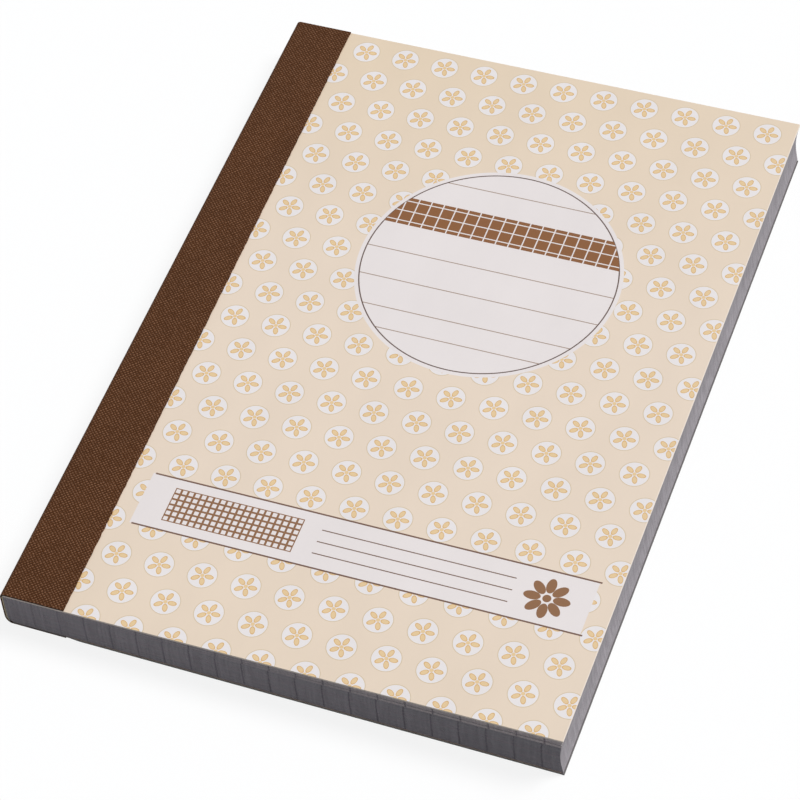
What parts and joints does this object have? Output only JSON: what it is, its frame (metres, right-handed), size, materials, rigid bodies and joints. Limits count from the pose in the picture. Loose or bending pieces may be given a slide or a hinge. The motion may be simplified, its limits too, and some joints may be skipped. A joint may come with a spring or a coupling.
{
  "type": "carbonless duplicate book",
  "caption": "Pocket duplicate book with hinged card covers, cloth spine, stapled margin, perforated originals over carbonless copies and a loose writing shield.",
  "frame": {"origin": "centre of the footprint, on the surface that the closed book lies on", "axes": "+X from the spine to the fore-edge, +Y to the head of the page, +Z out of the front cover"},
  "size_m": [0.105, 0.148, 0.0107],
  "materials": {
    "printed_card": "matt printed card, cream ground with pale discs",
    "plain_card": "matt unprinted card",
    "book_cloth": "woven book cloth, plain weave, starched",
    "original_paper": "white carbonless top paper, ruled in 5 mm squares",
    "copy_paper": "pale pink carbonless under paper, ruled in 5 mm squares",
    "set_paper": "edges of white and pale pink leaves",
    "glue": "dried binding glue",
    "staple_wire": "flat galvanised wire",
    "shield_board": "plain grey-brown board"
  },
  "bodies": {
    "bound_spine": {"spine_cloth": "book_cloth", "spine_glue": "glue", "staple_upper": "staple_wire", "staple_lower": "staple_wire", "front_cover_margin": "printed_card", "back_cover_margin": "plain_card", "original_01_stub": "original_paper", "copy_01_stub": "copy_paper", "original_02_stub": "original_paper", "copy_02_stub": "copy_paper", "original_03_stub": "original_paper", "copy_03_stub": "copy_paper", "original_04_stub": "original_paper", "copy_04_stub": "copy_paper", "original_05_stub": "original_paper", "copy_05_stub": "copy_paper", "sets_06_10_margin": "set_paper", "sets_11_15_margin": "set_paper", "sets_16_20_margin": "set_paper", "sets_21_25_margin": "set_paper", "sets_26_30_margin": "set_paper", "sets_31_35_margin": "set_paper", "sets_36_40_margin": "set_paper", "sets_41_45_margin": "set_paper", "sets_46_50_margin": "set_paper"},
    "copy_01": {"copy_01": "copy_paper"},
    "original_01": {"original_01": "original_paper"},
    "front_cover": {"front_cover": "printed_card", "front_cloth_flap": "book_cloth"},
    "original_02": {"original_02": "original_paper"},
    "copy_02": {"copy_02": "copy_paper"},
    "original_03": {"original_03": "original_paper"},
    "copy_03": {"copy_03": "copy_paper"},
    "original_04": {"original_04": "original_paper"},
    "copy_04": {"copy_04": "copy_paper"},
    "original_05": {"original_05": "original_paper"},
    "copy_05": {"copy_05": "copy_paper"},
    "sets_06_10": {"sets_06_10": "set_paper"},
    "sets_11_15": {"sets_11_15": "set_paper"},
    "sets_16_20": {"sets_16_20": "set_paper"},
    "sets_21_25": {"sets_21_25": "set_paper"},
    "sets_26_30": {"sets_26_30": "set_paper"},
    "sets_31_35": {"sets_31_35": "set_paper"},
    "sets_36_40": {"sets_36_40": "set_paper"},
    "sets_41_45": {"sets_41_45": "set_paper"},
    "sets_46_50": {"sets_46_50": "set_paper"},
    "back_cover": {"back_cover": "plain_card", "back_cloth_flap": "book_cloth"},
    "writing_shield": {"writing_shield": "shield_board"}
  },
  "joints": [
    {"name": "leaf_turn", "type": "hinge", "parent": "bound_spine", "child": "copy_01", "pos_m": [-0.043, 0, 0.0089], "axis": [0, 1, 0], "range_deg": [-178, 0]},
    {"name": "front_cover_open", "type": "hinge", "parent": "copy_01", "child": "front_cover", "pos_m": [-0.043, 0, 0.0089], "axis": [0, -1, 0], "range_deg": [0, 178]},
    {"name": "original_tear_off", "type": "slide", "parent": "copy_01", "child": "original_01", "axis": [0.9998, 0, 0.019], "range_m": [0, 0.1]},
    {"name": "back_cover_open", "type": "hinge", "parent": "bound_spine", "child": "back_cover", "pos_m": [-0.043, 0, -0.00002], "axis": [0, 1, 0], "range_deg": [0, 178]},
    {"name": "writing_shield_slide", "type": "slide", "parent": "bound_spine", "child": "writing_shield", "axis": [1, 0, 0], "range_m": [0, 0.09]},
    {"name": "original_02_turn", "type": "hinge", "parent": "bound_spine", "child": "original_02", "pos_m": [-0.043, 0, 0.0089], "axis": [0, 1, 0], "range_deg": [-176.22, 0]},
    {"name": "copy_02_turn", "type": "hinge", "parent": "bound_spine", "child": "copy_02", "pos_m": [-0.043, 0, 0.0089], "axis": [0, 1, 0], "range_deg": [-174.44, 0]},
    {"name": "original_03_turn", "type": "hinge", "parent": "bound_spine", "child": "original_03", "pos_m": [-0.043, 0, 0.0089], "axis": [0, 1, 0], "range_deg": [-172.66, 0]},
    {"name": "copy_03_turn", "type": "hinge", "parent": "bound_spine", "child": "copy_03", "pos_m": [-0.043, 0, 0.0089], "axis": [0, 1, 0], "range_deg": [-170.88, 0]},
    {"name": "original_04_turn", "type": "hinge", "parent": "bound_spine", "child": "original_04", "pos_m": [-0.043, 0, 0.0089], "axis": [0, 1, 0], "range_deg": [-169.1, 0]},
    {"name": "copy_04_turn", "type": "hinge", "parent": "bound_spine", "child": "copy_04", "pos_m": [-0.043, 0, 0.0089], "axis": [0, 1, 0], "range_deg": [-167.32, 0]},
    {"name": "original_05_turn", "type": "hinge", "parent": "bound_spine", "child": "original_05", "pos_m": [-0.043, 0, 0.0089], "axis": [0, 1, 0], "range_deg": [-165.54, 0]},
    {"name": "copy_05_turn", "type": "hinge", "parent": "bound_spine", "child": "copy_05", "pos_m": [-0.043, 0, 0.0089], "axis": [0, 1, 0], "range_deg": [-163.76, 0]},
    {"name": "sets_06_10_turn", "type": "hinge", "parent": "bound_spine", "child": "sets_06_10", "pos_m": [-0.043, 0, 0.0089], "axis": [0, 1, 0], "range_deg": [-160.2, 0]},
    {"name": "sets_11_15_turn", "type": "hinge", "parent": "bound_spine", "child": "sets_11_15", "pos_m": [-0.043, 0, 0.0089], "axis": [0, 1, 0], "range_deg": [-156.64, 0]},
    {"name": "sets_16_20_turn", "type": "hinge", "parent": "bound_spine", "child": "sets_16_20", "pos_m": [-0.043, 0, 0.0089], "axis": [0, 1, 0], "range_deg": [-153.08, 0]},
    {"name": "sets_21_25_turn", "type": "hinge", "parent": "bound_spine", "child": "sets_21_25", "pos_m": [-0.043, 0, 0.0089], "axis": [0, 1, 0], "range_deg": [-149.52, 0]},
    {"name": "sets_26_30_turn", "type": "hinge", "parent": "bound_spine", "child": "sets_26_30", "pos_m": [-0.043, 0, 0.0089], "axis": [0, 1, 0], "range_deg": [-24.92, 0]},
    {"name": "sets_31_35_turn", "type": "hinge", "parent": "bound_spine", "child": "sets_31_35", "pos_m": [-0.043, 0, 0.0089], "axis": [0, 1, 0], "range_deg": [-19.58, 0]},
    {"name": "sets_36_40_turn", "type": "hinge", "parent": "bound_spine", "child": "sets_36_40", "pos_m": [-0.043, 0, 0.0089], "axis": [0, 1, 0], "range_deg": [-14.24, 0]},
    {"name": "sets_41_45_turn", "type": "hinge", "parent": "bound_spine", "child": "sets_41_45", "pos_m": [-0.043, 0, 0.0089], "axis": [0, 1, 0], "range_deg": [-10.68, 0]},
    {"name": "sets_46_50_turn", "type": "hinge", "parent": "bound_spine", "child": "sets_46_50", "pos_m": [-0.043, 0, 0.0089], "axis": [0, 1, 0], "range_deg": [-7.12, 0]}
  ],
  "couplings": [
    {"joint": "original_02_turn", "follows": "leaf_turn", "ratio": 0.99},
    {"joint": "copy_02_turn", "follows": "leaf_turn", "ratio": 0.98},
    {"joint": "original_03_turn", "follows": "leaf_turn", "ratio": 0.97},
    {"joint": "copy_03_turn", "follows": "leaf_turn", "ratio": 0.96},
    {"joint": "original_04_turn", "follows": "leaf_turn", "ratio": 0.95},
    {"joint": "copy_04_turn", "follows": "leaf_turn", "ratio": 0.94},
    {"joint": "original_05_turn", "follows": "leaf_turn", "ratio": 0.93},
    {"joint": "copy_05_turn", "follows": "leaf_turn", "ratio": 0.92},
    {"joint": "sets_06_10_turn", "follows": "leaf_turn", "ratio": 0.9},
    {"joint": "sets_11_15_turn", "follows": "leaf_turn", "ratio": 0.88},
    {"joint": "sets_16_20_turn", "follows": "leaf_turn", "ratio": 0.86},
    {"joint": "sets_21_25_turn", "follows": "leaf_turn", "ratio": 0.84},
    {"joint": "sets_26_30_turn", "follows": "leaf_turn", "ratio": 0.14},
    {"joint": "sets_31_35_turn", "follows": "leaf_turn", "ratio": 0.11},
    {"joint": "sets_36_40_turn", "follows": "leaf_turn", "ratio": 0.08},
    {"joint": "sets_41_45_turn", "follows": "leaf_turn", "ratio": 0.06},
    {"joint": "sets_46_50_turn", "follows": "leaf_turn", "ratio": 0.04}
  ]
}
